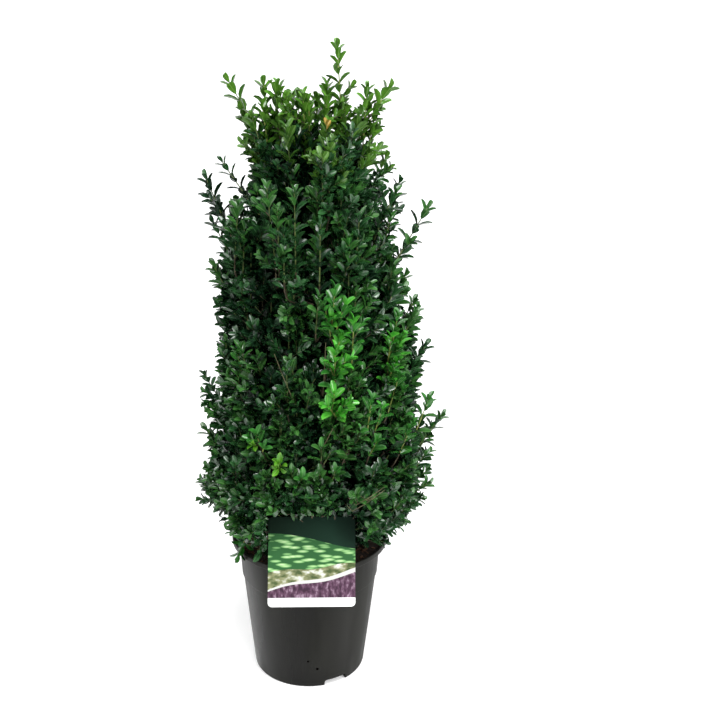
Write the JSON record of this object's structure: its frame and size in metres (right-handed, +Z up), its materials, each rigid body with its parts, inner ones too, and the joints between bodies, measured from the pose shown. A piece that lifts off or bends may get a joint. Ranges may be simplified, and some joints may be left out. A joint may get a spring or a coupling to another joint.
{
  "type": "potted boxwood cone topiary",
  "caption": "Small-leaved evergreen shrub clipped to a slim cone, standing in a round nursery pot with a picture label hung on its rim.",
  "frame": {"origin": "middle of the pot's flat underside", "axes": "+Z up along the pot's axis; the label on the rim faces -Y, with +X to its right"},
  "size_m": [0.3756, 0.3242, 0.9397],
  "materials": {
    "pot": "satin dark grey",
    "soil": "moist, crumbly, with bark bits",
    "label": "smooth, printed",
    "bark": "finely ridged bark",
    "foliage": "glossy leaves"
  },
  "bodies": {
    "root": {"pot": "pot", "potting_soil": "soil", "plant_label": "label", "main_stem": "bark", "bough_lower_1": "bark", "bough_lower_2": "bark", "bough_lower_3": "bark", "bough_lower_4": "bark", "bough_lower_5": "bark", "bough_lower_6": "bark", "bough_middle_1": "bark", "bough_middle_2": "bark", "bough_middle_3": "bark", "bough_middle_4": "bark", "bough_middle_5": "bark", "bough_upper_1": "bark", "bough_upper_2": "bark", "bough_upper_3": "bark", "bough_upper_4": "bark", "foliage_lower_1": "foliage", "foliage_lower_2": "foliage", "foliage_lower_3": "foliage", "foliage_lower_4": "foliage", "foliage_lower_5": "foliage", "foliage_lower_6": "foliage", "foliage_middle_1": "foliage", "foliage_middle_2": "foliage", "foliage_middle_3": "foliage", "foliage_middle_4": "foliage", "foliage_middle_5": "foliage", "foliage_upper_1": "foliage", "foliage_upper_2": "foliage", "foliage_upper_3": "foliage", "foliage_upper_4": "foliage", "foliage_top": "foliage"}
  },
  "joints": []
}
